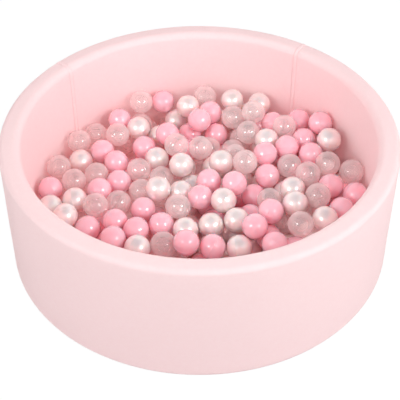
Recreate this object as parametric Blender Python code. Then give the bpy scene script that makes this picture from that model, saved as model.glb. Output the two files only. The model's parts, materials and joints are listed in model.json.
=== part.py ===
"""A round foam ball pit: padded base, foam wall, sewn jersey cover with a zip, and the balls in it."""
import math
import random

import bmesh
import bpy
import numpy as np
from mathutils import Matrix, Vector

mm = 0.001

# Clearances shared by every piece
seat_gap = 0.3 * mm          # between two pieces that touch
weld_distance = 0.001 * mm   # points closer than this are one point

# The wall and its base
outer_radius = 450 * mm
foam_thickness = 45 * mm
foam_height = 300 * mm
cloth = 1.2 * mm
pad_edge_thickness = 12 * mm
pad_crown = 10 * mm
rim_rounding = 12 * mm
foot_rounding = 11 * mm

# The wall is cut from a sheet two metres long, so a short strip closes the ring at the back
seam_right_angle = math.radians(54)
seam_left_angle = math.radians(141)
facets = 48
rounding_steps = 3

# The zip along the foot of the short panel
zip_height = 29 * mm
zip_slot = 1.2 * mm
zip_tape_height = 6 * mm
zip_tape_opening = 5.8 * mm
zip_tape_thickness = 0.7 * mm
zip_tape_clearance = 0.6 * mm
zip_teeth_height = 3.5 * mm
zip_teeth_thickness = 1.8 * mm
zip_teeth_clearance = 0.6 * mm
zip_step_angle = math.radians(3)
zip_end_angle = math.radians(2.5)
zip_running_gap = 0.4 * mm
zip_stop_length = 1.6 * mm
zip_stop_thickness = 2.6 * mm

# The slider and its pull
slider_length = 11 * mm
slider_plate = 1.4 * mm
slider_flange = 0.8 * mm
slider_web = 0.6 * mm
slider_back_plate = 1.0 * mm
slider_start_angle = math.radians(1.2)
bail_length = 6.8 * mm
bail_width = 2.0 * mm
bail_leg = 1.0 * mm
bail_opening_height = 2.3 * mm
pull_length = 24 * mm
pull_width = 6 * mm
pull_thickness = 1.2 * mm
pull_eye_length = 4.4 * mm
pull_corner = 2.4 * mm

# The balls
ball_diameter = 60 * mm
loose_balls_per_kind = 3
contact_patch_radius = 4 * mm
link_slack = 0.5 * mm
ball_node_limit = 35
layout_seed = 11
colour_tries = 8000

# The bed of balls leans up to the right at the back; heights are those of the centres of the top balls
bed_level = 122 * mm
bed_lean = 30 * mm
bed_lean_direction = (0.8, 0.6)

# Shares of the ball's diameter that rule how the bed is filled
ring_pitch_share = 1.10
filler_drop_share = 0.42
top_rise_share = 0.40
hole_depth_share = 0.30
front_rise_share = 0.20
hollow_search_share = 0.20
share_digits = 6
ring_slack = 0.03 * mm
floor_ring_turn = math.radians(137)

# How far a placed ball may roll, as a share of its diameter, and how strongly it is held to its place
place_tries = ((0.20, 1.0), (0.25, 0.3), (0.38, 0.2))

kinds = ("pink", "pearl", "clear")

# Balls that show only in part, below their neighbours: across and along, as shares of the pit's inner radius
low_place_shares = {
    "pink": [(-0.18, 0.66), (-0.35, 0.48), (0.07, 0.76), (0.49, 0.70), (0.39, 0.07), (-0.61, -0.25)],
    "pearl": [(-0.34, 0.70), (-0.10, 0.05), (0.30, 0.01), (0.00, 0.11), (-0.08, -0.29), (0.235, 0.50)],
    "clear": [(-0.09, 0.54), (0.265, 0.655), (0.355, 0.54), (-0.48, -0.03), (0.47, -0.26), (0.88, 0.09),
              (-0.205, -0.39), (0.17, 0.41)],
}

# Balls that lie on top, set by eye from the photograph, as the same shares
top_place_shares = {
    "pink": [(-0.51, 0.71), (-0.61, 0.40), (-0.54, 0.30), (-0.49, 0.16), (-0.90, 0.10), (-0.59, 0.02),
             (-0.33, -0.09), (-0.49, -0.20), (-0.38, -0.27), (-0.49, -0.36), (-0.15, -0.36), (-0.07, -0.46),
             (-0.24, -0.26), (-0.07, -0.07), (0.05, 0.05), (0.07, -0.42), (0.20, 0.01), (0.285, -0.33),
             (0.37, -0.29), (0.40, -0.41), (0.77, 0.04), (0.90, -0.03), (0.81, -0.17), (-0.25, 0.87),
             (0.61, 0.63), (0.745, 0.52), (0.00, 0.63), (0.50, 0.335), (0.625, 0.415), (0.605, 0.23),
             (0.37, 0.265), (-0.23, 0.585)],
    "pearl": [(-0.79, 0.33), (-0.76, -0.03), (-0.88, -0.07), (-0.74, -0.19), (-0.31, -0.36), (-0.21, 0.04),
              (-0.11, 0.21), (0.09, -0.09), (0.04, -0.26), (0.18, -0.23), (0.21, -0.42), (0.28, -0.15),
              (0.53, -0.04), (0.55, -0.17), (0.70, -0.29), (-0.075, 0.80), (0.21, 0.83), (0.35, 0.765),
              (0.82, 0.43), (-0.385, 0.605), (0.27, 0.435), (0.385, 0.43), (0.72, 0.30), (0.85, 0.22),
              (0.10, 0.28), (-0.29, 0.34), (-0.435, 0.38)],
    "clear": [(-0.68, 0.63), (-0.52, 0.56), (-0.75, 0.48), (-0.87, 0.30), (-0.64, 0.21), (-0.77, 0.15),
              (-0.65, -0.13), (-0.165, -0.17), (-0.35, 0.07), (-0.39, 0.23), (-0.25, 0.19), (0.47, 0.13),
              (0.40, -0.10), (0.64, 0.10), (0.76, 0.17), (0.67, -0.11), (0.57, -0.34), (-0.38, 0.84),
              (0.035, 0.885), (0.14, 0.665), (0.39, 0.635), (0.53, 0.555), (0.24, 0.22), (0.00, 0.40),
              (-0.15, 0.395)],
}

# Radii and heights that follow from the sizes above
foam_outer_radius = outer_radius - cloth - seat_gap
foam_inner_radius = foam_outer_radius - foam_thickness
inner_radius = foam_inner_radius - seat_gap - cloth
pad_bottom = cloth + seat_gap
pad_edge_top = pad_bottom + pad_edge_thickness
foam_bottom = pad_edge_top + seat_gap
foam_top = foam_bottom + foam_height
overall_height = foam_top + seat_gap + cloth
floor_edge_top = pad_edge_top + seat_gap + cloth
facet_share = math.cos(math.pi / facets)
ball_radius = ball_diameter / 2
contact = ball_diameter + seat_gap
ball_centre_reach = inner_radius * facet_share - ball_radius - seat_gap

zip_tape_inner = foam_outer_radius + zip_tape_clearance
zip_teeth_inner = zip_tape_inner + zip_tape_thickness + zip_teeth_clearance
zip_teeth_outer = zip_teeth_inner + zip_teeth_thickness
zip_start_angle = seam_right_angle + zip_end_angle
zip_stop_angle = seam_left_angle - zip_end_angle
zip_half_height = zip_slot / 2 + zip_teeth_height
strip_top = zip_height - zip_tape_opening / 2 - zip_tape_height - seat_gap
skirt_bottom = zip_height + zip_tape_opening / 2 + zip_tape_height + seat_gap

slider_angle = zip_start_angle + slider_start_angle
slider_plate_inner = zip_teeth_outer + zip_running_gap
slider_plate_outer = slider_plate_inner + slider_plate
slider_half_width = zip_half_height + zip_running_gap + slider_flange
pull_axis_radius = slider_plate_outer + bail_opening_height / 2

# Named shares of the dome of the pad, from its middle to its edge
pad_ring_shares = (0.0, 0.35, 0.6, 0.78, 0.9, 1.0)
pad_dome_power = 4


def clear_scene():
    """Remove what the scene holds."""
    for thing in list(bpy.data.objects):
        bpy.data.objects.remove(thing, do_unlink=True)


def make_material(name, colour, roughness, transmission=0.0):
    """A plain finish with the piece's colour."""
    material = bpy.data.materials.new(name)
    material.use_nodes = True
    shader = material.node_tree.nodes["Principled BSDF"]
    shader.inputs["Base Color"].default_value = (*colour, 1.0)
    shader.inputs["Roughness"].default_value = roughness
    shader.inputs["Metallic"].default_value = 0.0
    shader.inputs["Transmission Weight"].default_value = transmission
    material.diffuse_color = (*colour, 1.0)
    return material


def make_object(name, bm, material, smooth_angle=None):
    """Turn a bmesh into a named object with one material."""
    bmesh.ops.remove_doubles(bm, verts=bm.verts, dist=weld_distance)
    bmesh.ops.recalc_face_normals(bm, faces=bm.faces)
    mesh = bpy.data.meshes.new(name)
    bm.to_mesh(mesh)
    bm.free()
    mesh.materials.append(material)
    if smooth_angle is not None:
        mesh.shade_smooth()
        mesh.set_sharp_from_angle(angle=smooth_angle)
    piece = bpy.data.objects.new(name, mesh)
    bpy.context.scene.collection.objects.link(piece)
    return piece


def add_boolean(piece, cutter, operation):
    """Cut a piece with, keep it inside, or join it to another solid, which is then only a guide."""
    modifier = piece.modifiers.new(operation.title(), "BOOLEAN")
    modifier.operation = operation
    modifier.object = cutter
    modifier.solver = "EXACT"
    cutter.hide_render = True
    cutter.display_type = "WIRE"


def arc_points(centre, radius, start, end, steps=rounding_steps):
    """Points along an arc in a section, as (radius from the axis, height)."""
    points = []
    for step in range(steps + 1):
        angle = start + (end - start) * step / steps
        points.append((centre[0] + radius * math.cos(angle), centre[1] + radius * math.sin(angle)))
    return points


def turned(name, outline, material):
    """A solid turned about the pit's axis from an outline, closed there or by the axis."""
    bm = bmesh.new()
    verts = [bm.verts.new((radius, 0, height)) for radius, height in outline]
    edges = [bm.edges.new(pair) for pair in zip(verts, verts[1:])]
    if outline[0][0] > 0:
        edges.append(bm.edges.new((verts[-1], verts[0])))
    bmesh.ops.spin(bm, geom=verts + edges, cent=(0, 0, 0), axis=(0, 0, 1),
                   angle=2 * math.pi, steps=facets, use_merge=True)
    return make_object(name, bm, material, smooth_angle=math.radians(40))


def swept(name, outline, start_angle, end_angle, material):
    """A strip with a convex section that follows the wall round from one angle to another."""
    bm = bmesh.new()
    along = Matrix.Rotation(start_angle, 3, "Z")
    verts = [bm.verts.new(along @ Vector((radius, 0, height))) for radius, height in outline]
    edges = [bm.edges.new((verts[i - 1], verts[i])) for i in range(len(verts))]
    arc = end_angle - start_angle
    bmesh.ops.spin(bm, geom=verts + edges, cent=(0, 0, 0), axis=(0, 0, 1),
                   angle=arc, steps=max(1, round(arc / zip_step_angle)))
    bmesh.ops.holes_fill(bm, edges=bm.edges, sides=len(outline))
    return make_object(name, bm, material, smooth_angle=math.radians(40))


def short_panel_wedge(name, growth):
    """A wedge from the pit's axis that spans the short panel, grown or shrunk by the seam's half gap."""
    middle = (seam_right_angle + seam_left_angle) / 2
    half = (seam_left_angle - seam_right_angle) / 2
    apex = Vector((math.cos(middle), math.sin(middle), 0)) * (-growth / math.sin(half))
    reach = 2 * outer_radius
    corners = [apex]
    for angle in (seam_right_angle, seam_left_angle):
        corners.append(apex + reach * Vector((math.cos(angle), math.sin(angle), 0)))
    bm = bmesh.new()
    base = bm.faces.new([bm.verts.new(corner - Vector((0, 0, overall_height))) for corner in corners])
    top = bmesh.ops.extrude_face_region(bm, geom=[base])["geom"]
    raised = [item for item in top if isinstance(item, bmesh.types.BMVert)]
    bmesh.ops.translate(bm, verts=raised, vec=(0, 0, 3 * overall_height))
    wedge = make_object(name, bm, materials["foam"])
    wedge.hide_render = True
    wedge.display_type = "WIRE"
    return wedge


def box(name, low, high, material):
    """A closed box between two corners."""
    low = Vector(low)
    high = Vector(high)
    bm = bmesh.new()
    bmesh.ops.create_cube(bm, size=1.0)
    bmesh.ops.scale(bm, vec=high - low, verts=bm.verts)
    bmesh.ops.translate(bm, vec=(low + high) / 2, verts=bm.verts)
    return make_object(name, bm, material)


def on_the_wall(angle):
    """The frame of a small piece on the wall: X along the zip, Y out from the wall, Z up."""
    along = Vector((math.sin(angle), -math.cos(angle), 0))
    outward = Vector((math.cos(angle), math.sin(angle), 0))
    frame = Matrix.Identity(4)
    frame.col[0][:3] = -along
    frame.col[1][:3] = outward
    frame.col[2][:3] = (0, 0, 1)
    return frame


def wall_foam():
    """The foam wall: a long strip bent round and a short one that closes the ring."""
    soft_edge = rim_rounding - cloth - seat_gap
    edge_height = foam_top - soft_edge
    outline = [(foam_inner_radius, foam_bottom), (foam_outer_radius, foam_bottom)]
    outline += arc_points((foam_outer_radius - soft_edge, edge_height), soft_edge, 0, math.pi / 2)
    outline += arc_points((foam_inner_radius + soft_edge, edge_height), soft_edge, math.pi / 2, math.pi)
    long_strip = turned("foam_wall_long", outline, materials["foam"])
    short_strip = turned("foam_wall_short", outline, materials["foam"])
    add_boolean(long_strip, seam_wedge_wide, "DIFFERENCE")
    add_boolean(short_strip, seam_wedge_narrow, "INTERSECT")


def wall_cover_outline(foot):
    """The section of the cover over the wall: up the outside, over the rim and down to the floor inside."""
    edge_height = overall_height - rim_rounding
    outside = list(foot)
    outside += arc_points((outer_radius - rim_rounding, edge_height), rim_rounding, 0, math.pi / 2)
    outside += arc_points((inner_radius + rim_rounding, edge_height), rim_rounding, math.pi / 2, math.pi)
    outside.append((inner_radius, floor_edge_top + seat_gap))
    lining_rounding = rim_rounding - cloth
    inside = [(inner_radius + cloth, floor_edge_top + seat_gap)]
    inside += arc_points((inner_radius + rim_rounding, edge_height), lining_rounding, math.pi, math.pi / 2)
    inside += arc_points((outer_radius - rim_rounding, edge_height), lining_rounding, math.pi / 2, 0)
    return outside, inside


def foot_outline(top):
    """The section of the cloth that turns under the foot, from its hem beside the base up to a height."""
    centre = (outer_radius - foot_rounding, foot_rounding)
    outside = arc_points(centre, foot_rounding, -math.pi / 2, 0)
    inside = arc_points(centre, foot_rounding - cloth, 0, -math.pi / 2)
    if top is not None:
        outside.append((outer_radius, top))
        inside.insert(0, (outer_radius - cloth, top))
    return outside, inside


def cover():
    """The sewn cover: two wall panels, the strip below the zip, the floor and the base."""
    foot_outside, foot_inside = foot_outline(None)
    outside, inside = wall_cover_outline(foot_outside)
    long_panel = turned("cover_wall_long", outside + inside + foot_inside, materials["cover"])
    add_boolean(long_panel, seam_wedge_wide, "DIFFERENCE")

    outside, inside = wall_cover_outline([(outer_radius, skirt_bottom)])
    inside.append((outer_radius - cloth, skirt_bottom))
    short_panel = turned("cover_wall_short", outside + inside, materials["cover"])
    add_boolean(short_panel, seam_wedge_narrow, "INTERSECT")

    outside, inside = foot_outline(strip_top)
    strip = turned("cover_strip_below_zip", outside + inside, materials["cover"])
    add_boolean(strip, seam_wedge_narrow, "INTERSECT")

    base_radius = outer_radius - foot_rounding - seat_gap
    turned("cover_base", [(0, 0), (base_radius, 0), (base_radius, cloth), (0, cloth)], materials["cover"])

    floor_radius = foam_inner_radius - seat_gap
    outline = []
    for share in pad_ring_shares:
        outline.append((share * inner_radius, floor_top(share * inner_radius)))
    outline += [(floor_radius, floor_edge_top), (floor_radius, floor_edge_top - cloth)]
    for share in reversed(pad_ring_shares):
        outline.append((share * inner_radius, pad_top(share * inner_radius) + seat_gap))
    turned("cover_floor", outline, materials["cover"])


def pad_top(radius):
    """Height of the pad's top at a distance from the axis, straight between the rings of its dome."""
    radii = [share * inner_radius for share in pad_ring_shares]
    heights = [pad_edge_top + pad_crown * (1 - share ** pad_dome_power) for share in pad_ring_shares]
    return np.interp(radius, radii, heights)


def floor_top(radius):
    """Height of the floor's cloth at a distance from the axis."""
    return pad_top(radius) + seat_gap + cloth


def base_pad():
    """The round pad under the wall and the balls, crowned inside the wall and drawn in at its edge."""
    edge_rounding = foot_rounding - cloth - seat_gap
    outline = [(0, pad_bottom)]
    outline += arc_points((foam_outer_radius - edge_rounding, pad_bottom + edge_rounding), edge_rounding,
                          -math.pi / 2, 0)
    outline.append((foam_outer_radius, pad_edge_top))
    for share in reversed(pad_ring_shares):
        outline.append((share * inner_radius, pad_top(share * inner_radius)))
    turned("base_pad", outline, materials["foam"])


def zip_rows():
    """The zip's two tapes, its two rows of teeth and the stops at its ends."""
    tape_outer = zip_tape_inner + zip_tape_thickness
    seam_angle_gap = seat_gap / outer_radius
    for side, sign in (("lower", -1), ("upper", 1)):
        near = zip_height + sign * zip_tape_opening / 2
        far = near + sign * zip_tape_height
        tape = [(zip_tape_inner, near), (tape_outer, near), (tape_outer, far), (zip_tape_inner, far)]
        swept("zip_tape_" + side, tape, seam_right_angle + seam_angle_gap, seam_left_angle - seam_angle_gap,
              materials["tape"])
        near = zip_height + sign * zip_slot / 2
        far = near + sign * zip_teeth_height
        teeth = [(zip_teeth_inner, near), (zip_teeth_outer, near),
                 (zip_teeth_outer, far), (zip_teeth_inner, far)]
        swept("zip_teeth_" + side, teeth, zip_start_angle, zip_stop_angle, materials["teeth"])
    stop_inner = tape_outer + seat_gap
    end_offset = zip_stop_length / 2 + seat_gap
    ends = (("right", zip_start_angle - end_offset / zip_teeth_inner),
            ("left", zip_stop_angle + end_offset / zip_teeth_inner))
    for side, angle in ends:
        stop = box("zip_stop_" + side,
                   (-zip_stop_length / 2, stop_inner, zip_height - zip_half_height),
                   (zip_stop_length / 2, stop_inner + zip_stop_thickness, zip_height + zip_half_height),
                   materials["metal"])
        stop.matrix_world = on_the_wall(angle)


def zip_slider():
    """The slider: a flanged plate over the teeth, a divider through the slot, a back plate and a bail."""
    back_inner = foam_outer_radius + zip_running_gap
    back_outer = back_inner + slider_back_plate
    flange_foot = zip_tape_inner + zip_tape_thickness + zip_running_gap
    back_half_width = zip_tape_opening / 2 - zip_running_gap
    flange_inside = zip_half_height + zip_running_gap
    half = [(slider_plate_outer, slider_half_width), (flange_foot, slider_half_width),
            (flange_foot, flange_inside), (slider_plate_inner, flange_inside),
            (slider_plate_inner, slider_web / 2), (back_outer, slider_web / 2),
            (back_outer, back_half_width), (back_inner, back_half_width)]
    outline = half + [(depth, -height) for depth, height in reversed(half)]
    bm = bmesh.new()
    ring = [bm.verts.new((-slider_length / 2, depth, zip_height + height)) for depth, height in outline]
    face = bm.faces.new(ring)
    raised = bmesh.ops.extrude_face_region(bm, geom=[face])["geom"]
    bmesh.ops.translate(bm, verts=[item for item in raised if isinstance(item, bmesh.types.BMVert)],
                        vec=(slider_length, 0, 0))
    slider = make_object("zip_slider", bm, materials["metal"])

    bail_top = slider_plate_outer + bail_opening_height + bail_leg
    bail_foot = slider_plate_inner + slider_plate / 2
    opening = bail_length / 2 - bail_leg
    arch = [(-bail_length / 2, bail_foot), (-bail_length / 2, bail_top), (bail_length / 2, bail_top),
            (bail_length / 2, bail_foot), (opening, bail_foot), (opening, bail_top - bail_leg),
            (-opening, bail_top - bail_leg), (-opening, bail_foot)]
    bm = bmesh.new()
    ring = [bm.verts.new((along, depth, zip_height - bail_width / 2)) for along, depth in arch]
    face = bm.faces.new(ring)
    raised = bmesh.ops.extrude_face_region(bm, geom=[face])["geom"]
    bmesh.ops.translate(bm, verts=[item for item in raised if isinstance(item, bmesh.types.BMVert)],
                        vec=(0, 0, bail_width))
    bail = make_object("slider_bail_guide", bm, materials["metal"])
    add_boolean(slider, bail, "UNION")
    bail.parent = slider
    slider.matrix_world = on_the_wall(slider_angle)


def zip_pull():
    """The pull: a flat tab whose eye goes round the slider's bail."""
    eye_half_width = bail_width / 2 + zip_running_gap
    bar = pull_thickness / 2
    bm = bmesh.new()
    bmesh.ops.create_cube(bm, size=1.0)
    size = Vector((pull_length + bar, pull_thickness, pull_width))
    bmesh.ops.scale(bm, vec=size, verts=bm.verts)
    bmesh.ops.translate(bm, vec=((pull_length - bar) / 2, 0, 0), verts=bm.verts)
    corners = [edge for edge in bm.edges
               if abs(edge.verts[0].co.y - edge.verts[1].co.y) > bar and edge.verts[0].co.x > pull_length / 2]
    bmesh.ops.bevel(bm, geom=corners, offset=pull_corner, segments=3, affect="EDGES", profile=0.5)
    pull = make_object("zip_pull", bm, materials["metal"])
    eye = box("pull_eye_guide", (bar, -pull_thickness, -eye_half_width),
              (bar + pull_eye_length, pull_thickness, eye_half_width), materials["metal"])
    add_boolean(pull, eye, "DIFFERENCE")
    eye.parent = pull
    hinge = on_the_wall(slider_angle)
    hinge.translation = hinge.to_3x3() @ Vector((0, pull_axis_radius, zip_height))
    pull.matrix_world = hinge


def in_diameters(length):
    """A length as a share of the ball's diameter, rounded, so that equal places stay equal at any scale."""
    return np.round(length / ball_diameter, share_digits)


class Bed:
    """The balls in the order in which they were dropped in."""

    def __init__(self):
        self.centres = np.empty((0, 3))
        self.kinds = []
        self.fine = []

    def resting_height(self, places):
        """Height at which the centre of a ball dropped straight down at each place comes to rest."""
        height = floor_top(np.hypot(places[:, 0], places[:, 1])) + seat_gap + ball_radius
        if len(self.centres):
            away = ((places[:, None, :] - self.centres[None, :, :2]) ** 2).sum(axis=2)
            lift = np.sqrt(np.clip(contact ** 2 - away, 0, None))
            over = np.where(away < contact ** 2, self.centres[None, :, 2] + lift, 0)
            height = np.maximum(height, over.max(axis=1))
        return height

    def settle(self, place, reach, pull):
        """Let a ball roll from a place, at most a reach in each direction, to where it lies lowest."""
        start = place
        while reach > seat_gap / 4:
            steps = np.linspace(-reach, reach, 9)
            grid = np.array([(a, b) for a in steps for b in steps]) + place
            far = np.maximum(np.hypot(grid[:, 0], grid[:, 1]) / ball_centre_reach, 1)
            grid = grid / far[:, None]
            cost = self.resting_height(grid) + pull * np.hypot(*(grid - start).T)
            place = grid[int(np.argmin(in_diameters(cost)))]
            reach = reach / 4
        return place, float(self.resting_height(place[None, :])[0])

    def add(self, place, height, kind, fine):
        """Keep a ball where it has come to rest."""
        self.centres = np.vstack([self.centres, [place[0], place[1], height]])
        self.kinds.append(kind)
        self.fine.append(fine)

    def lay_floor(self):
        """Lay the lowest balls on the floor in rings, each touching the next."""
        ring_radius = ball_centre_reach
        turn = 0
        while ring_radius > contact / 2:
            step = 2 * math.asin((contact + ring_slack) / 2 / ring_radius)
            for number in range(int(2 * math.pi / step)):
                angle = turn + step * number
                place = ring_radius * np.array([math.cos(angle), math.sin(angle)])
                self.add(place, float(self.resting_height(place[None, :])[0]), "hidden", False)
            ring_radius -= ring_pitch_share * ball_diameter
            turn += floor_ring_turn

    def fill_hollows(self, highest, kind_at, fine):
        """Drop balls into the deepest hollows until none lies below its highest allowed place."""
        pitch = hollow_search_share * ball_diameter
        steps = np.arange(-ball_centre_reach, ball_centre_reach + pitch, pitch)
        grid = np.array([(a, b) for a in steps for b in steps if math.hypot(a, b) <= ball_centre_reach])
        limit = np.array([highest(across, along) for across, along in grid])
        while True:
            depth = in_diameters(limit - self.resting_height(grid))
            deepest = int(np.argmax(depth))
            if depth[deepest] < 0:
                return
            place, height = self.settle(grid[deepest], pitch, 0)
            self.add(place, height, kind_at(place), fine)


def level_at(across, along):
    """Height of the top balls' centres over a place."""
    share = (across * bed_lean_direction[0] + along * bed_lean_direction[1]) / ball_centre_reach
    return bed_level + bed_lean * share


def behind_the_rim(across, along):
    """Whether the front of the rim hides a place on the bed in the photograph."""
    front_share = 0.5 * (across / inner_radius) ** 2 - 0.5
    return along < front_share * inner_radius


def lay_places(bed, table, allowed_rise):
    """Lay the balls of a table, each as near its place as it lies low enough; return those left out."""
    left_out = []
    places = [(np.array(share) * inner_radius, kind) for kind in kinds for share in table[kind]]
    places.sort(key=lambda item: in_diameters(level_at(*item[0])))
    for start, kind in places:
        highest = level_at(*start) + allowed_rise
        for reach_share, pull in place_tries:
            place, height = bed.settle(start, reach_share * ball_diameter, pull)
            if height < highest:
                break
        if height < highest:
            bed.add(place, height, kind, True)
        else:
            left_out.append((start, kind))
    return left_out


def fill_bed():
    """Lay the balls: rings on the floor, filler, the placed balls, then what fits between."""
    chance = random.Random(layout_seed)
    bed = Bed()
    bed.lay_floor()

    def filler_limit(across, along):
        return level_at(across, along) - filler_drop_share * ball_diameter

    bed.fill_hollows(filler_limit, lambda place: "hidden", False)
    left_out = lay_places(bed, low_place_shares, 0)
    left_out += lay_places(bed, top_place_shares, top_rise_share * ball_diameter)

    def hole_limit(across, along):
        if behind_the_rim(across, along):
            return level_at(across, along) + front_rise_share * ball_diameter
        return level_at(across, along) - hole_depth_share * ball_diameter

    def hole_kind(place):
        for start, kind in left_out:
            if math.hypot(*(place - start)) < ball_radius:
                return kind
        return chance.choice(kinds)

    bed.fill_hollows(hole_limit, hole_kind, True)
    return bed


def touching_pairs(centres, slack):
    """Pairs of balls that touch, within a slack."""
    away = np.sqrt(((centres[:, None, :] - centres[None, :, :]) ** 2).sum(axis=2))
    first, second = np.where(np.triu(away <= contact + slack, k=1))
    return list(zip(first.tolist(), second.tolist()))


def lies_free(centres, index):
    """Whether a ball can be lifted straight up past its neighbours."""
    away = np.hypot(*(centres[:, :2] - centres[index, :2]).T)
    heights = in_diameters(centres[:, 2])
    over = (away < contact) & (heights > heights[index])
    return not over.any()


def pick_loose(bed, pairs_of):
    """Balls of each kind that show and lift straight out, first those that touch none of their kind."""
    loose = []

    def rank(index):
        alike = sum(bed.kinds[other] == bed.kinds[index] for other in pairs_of[index])
        return alike, -in_diameters(bed.centres[index, 2])

    for kind in kinds:
        taken = 0
        for index in sorted((i for i, name in enumerate(bed.kinds) if name == kind), key=rank):
            apart = all(math.hypot(*(bed.centres[index, :2] - bed.centres[other, :2])) > 2 * contact
                        for other in loose)
            if taken < loose_balls_per_kind and apart and bed.fine[index] and lies_free(bed.centres, index):
                loose.append(index)
                taken += 1
    return loose


def count_groups(count, pairs, kind_of):
    """How many groups the balls form when those of one kind hang together where they touch."""
    parent = list(range(count))

    def root(index):
        while parent[index] != index:
            parent[index] = parent[parent[index]]
            index = parent[index]
        return index

    for first, second in pairs:
        if kind_of[first] == kind_of[second]:
            parent[root(first)] = root(second)
    return len({root(index) for index in range(count)})


def colour_hidden(bed, pairs):
    """Give the hidden balls the kinds that leave the fewest groups."""
    count = len(bed.kinds)
    hidden = [index for index, kind in enumerate(bed.kinds) if kind == "hidden"]
    for order, index in enumerate(hidden):
        bed.kinds[index] = kinds[order % len(kinds)]
    chance = random.Random(layout_seed)
    fewest = count_groups(count, pairs, bed.kinds)
    for _ in range(colour_tries):
        index = chance.choice(hidden)
        before = bed.kinds[index]
        bed.kinds[index] = chance.choice(kinds)
        groups = count_groups(count, pairs, bed.kinds)
        if groups <= fewest:
            fewest = groups
        else:
            bed.kinds[index] = before


def split_groups(bed, pairs, left_out, largest):
    """Split the balls of each kind into groups that touch, none above a size, each with its links."""
    neighbours = {index: [] for index in range(len(bed.kinds))}
    for first, second in pairs:
        if bed.kinds[first] == bed.kinds[second]:
            neighbours[first].append(second)
            neighbours[second].append(first)
    waiting = set(range(len(bed.kinds))) - set(left_out)
    groups = []
    while waiting:
        start = min(waiting, key=lambda i: (sum(n in waiting for n in neighbours[i]), i))
        members = [start]
        links = []
        waiting.discard(start)
        while len(members) < largest:
            edge = [(float(np.linalg.norm(bed.centres[n] - bed.centres[start])), n, m)
                    for m in members for n in neighbours[m] if n in waiting]
            if not edge:
                break
            edge.sort(key=lambda item: (in_diameters(item[0] - seat_gap) // 1,
                                        sum(n in waiting for n in neighbours[item[1]])))
            _, ball, carrier = edge[0]
            members.append(ball)
            links.append((carrier, ball))
            waiting.discard(ball)
        groups.append((members, links))
    return groups


def ball_directions(fine):
    """Directions from a ball's centre to its corners: many on a ball that shows, few on a hidden one."""
    steps = (-1, 0, 1)
    directions = [Vector((a, b, c)).normalized() for a in steps for b in steps for c in steps
                  if abs(a) + abs(b) + abs(c) in ((1, 2, 3) if fine else (1, 3))]
    return directions


def take_nearest(directions, wanted):
    """Take the direction nearest to a wanted one off the list."""
    nearest = max(directions, key=lambda direction: direction.dot(wanted))
    directions.remove(nearest)


def add_ball(bm, bed, index, contacts, links):
    """Add one ball to a bmesh, with a corner at each place where it touches and an opening at each link."""
    centre = Vector(bed.centres[index])
    directions = ball_directions(bed.fine[index])
    corners = []
    patches = []
    for other in links:
        toward = Vector(bed.centres[other]) - centre
        take_nearest(directions, toward.normalized())
        low, high = sorted((index, other))
        axis = (Vector(bed.centres[high]) - Vector(bed.centres[low])).normalized()
        side = axis.orthogonal().normalized()
        middle = centre + toward / 2
        patch = []
        for step in range(3):
            turn = Matrix.Rotation(2 * math.pi * step / 3, 3, axis)
            patch.append(bm.verts.new(middle + contact_patch_radius * (turn @ side)))
        patches.append(patch)
        corners += patch
    for direction in contacts:
        if directions:
            take_nearest(directions, direction)
        corners.append(bm.verts.new(centre + ball_radius * direction))
    corners += [bm.verts.new(centre + ball_radius * direction) for direction in directions]
    shell = bmesh.ops.convex_hull(bm, input=corners)["geom"]
    faces = [item for item in shell if isinstance(item, bmesh.types.BMFace)]
    openings = [face for face in faces if any(all(vert in patch for vert in face.verts) for patch in patches)]
    bmesh.ops.delete(bm, geom=openings, context="FACES_ONLY")


def contact_directions(bed, index, pairs_of, linked):
    """Where a ball touches its neighbours, other than those it is linked to, and the floor."""
    centre = Vector(bed.centres[index])
    found = []
    for other in pairs_of[index]:
        if other not in linked:
            found.append((Vector(bed.centres[other]) - centre).normalized())
    if centre.z - ball_radius - floor_top(math.hypot(centre.x, centre.y)) < link_slack + seat_gap:
        found.append(Vector((0, 0, -1)))
    return found


def make_balls():
    """The balls: single loose ones on top, and the rest in groups that touch, one kind to a group."""
    bed = fill_bed()
    pairs = touching_pairs(bed.centres, link_slack)
    pairs_of = {index: [] for index in range(len(bed.kinds))}
    for first, second in pairs:
        pairs_of[first].append(second)
        pairs_of[second].append(first)
    colour_hidden(bed, pairs)
    loose = pick_loose(bed, pairs_of)
    largest = 1
    groups = split_groups(bed, pairs, loose, largest)
    while len(groups) > ball_node_limit and largest < len(bed.kinds):
        largest += 1
        groups = split_groups(bed, pairs, loose, largest)

    number = {kind: 0 for kind in kinds}
    for index in loose:
        kind = bed.kinds[index]
        number[kind] += 1
        bm = bmesh.new()
        add_ball(bm, bed, index, contact_directions(bed, index, pairs_of, []), [])
        name = "loose_%s_ball_%d" % (kind, number[kind])
        make_object(name, bm, materials[kind], smooth_angle=math.pi)
    number = {kind: 0 for kind in kinds}
    for members, links in groups:
        kind = bed.kinds[members[0]]
        number[kind] += 1
        bm = bmesh.new()
        for index in members:
            linked = [b if a == index else a for a, b in links if index in (a, b)]
            add_ball(bm, bed, index, contact_directions(bed, index, pairs_of, linked), linked)
        make_object("%s_balls_%02d" % (kind, number[kind]), bm, materials[kind], smooth_angle=math.pi)
    print("balls", len(bed.kinds), "groups", len(groups), "largest", largest)
    return bed


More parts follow.
